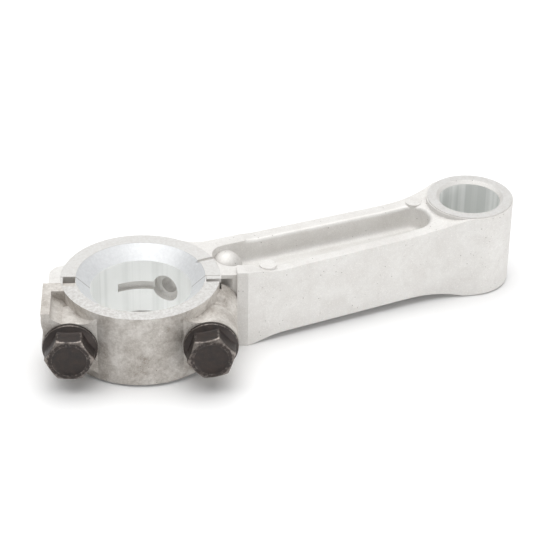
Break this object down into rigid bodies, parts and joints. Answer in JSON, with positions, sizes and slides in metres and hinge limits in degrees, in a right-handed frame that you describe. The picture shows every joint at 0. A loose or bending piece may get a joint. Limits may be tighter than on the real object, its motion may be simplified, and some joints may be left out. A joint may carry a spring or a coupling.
{
  "type": "connecting rod",
  "caption": "Die-cast aluminium connecting rod with an I-section beam, a side-split big end and a cap held by flange bolts.",
  "frame": {"origin": "centre of the crankpin bore, half way through the rod's thickness", "axes": "+Z along both bores, +X from the crankpin bore towards the wrist-pin bore, so the cap is on the -Y side"},
  "size_m": [0.1698, 0.0626, 0.0302],
  "materials": {
    "cast_aluminium": "as-cast skin with machined bores and side faces",
    "black_steel": "black oxide"
  },
  "bodies": {
    "rod": {"connecting_rod_body": "cast_aluminium"},
    "cap": {"rod_cap": "cast_aluminium"},
    "short_side_bolt": {"short_side_cap_bolt": "black_steel"},
    "beam_side_bolt": {"beam_side_cap_bolt": "black_steel"}
  },
  "joints": [
    {"name": "cap_lift", "type": "slide", "parent": "rod", "child": "cap", "axis": [-0.3665, -0.9304, 0], "range_m": [0, 0.034]},
    {"name": "short_side_bolt_draw", "type": "slide", "parent": "cap", "child": "short_side_bolt", "axis": [-0.3665, -0.9304, 0], "range_m": [0, 0.036]},
    {"name": "beam_side_bolt_draw", "type": "slide", "parent": "cap", "child": "beam_side_bolt", "axis": [-0.3665, -0.9304, 0], "range_m": [0, 0.036]}
  ]
}
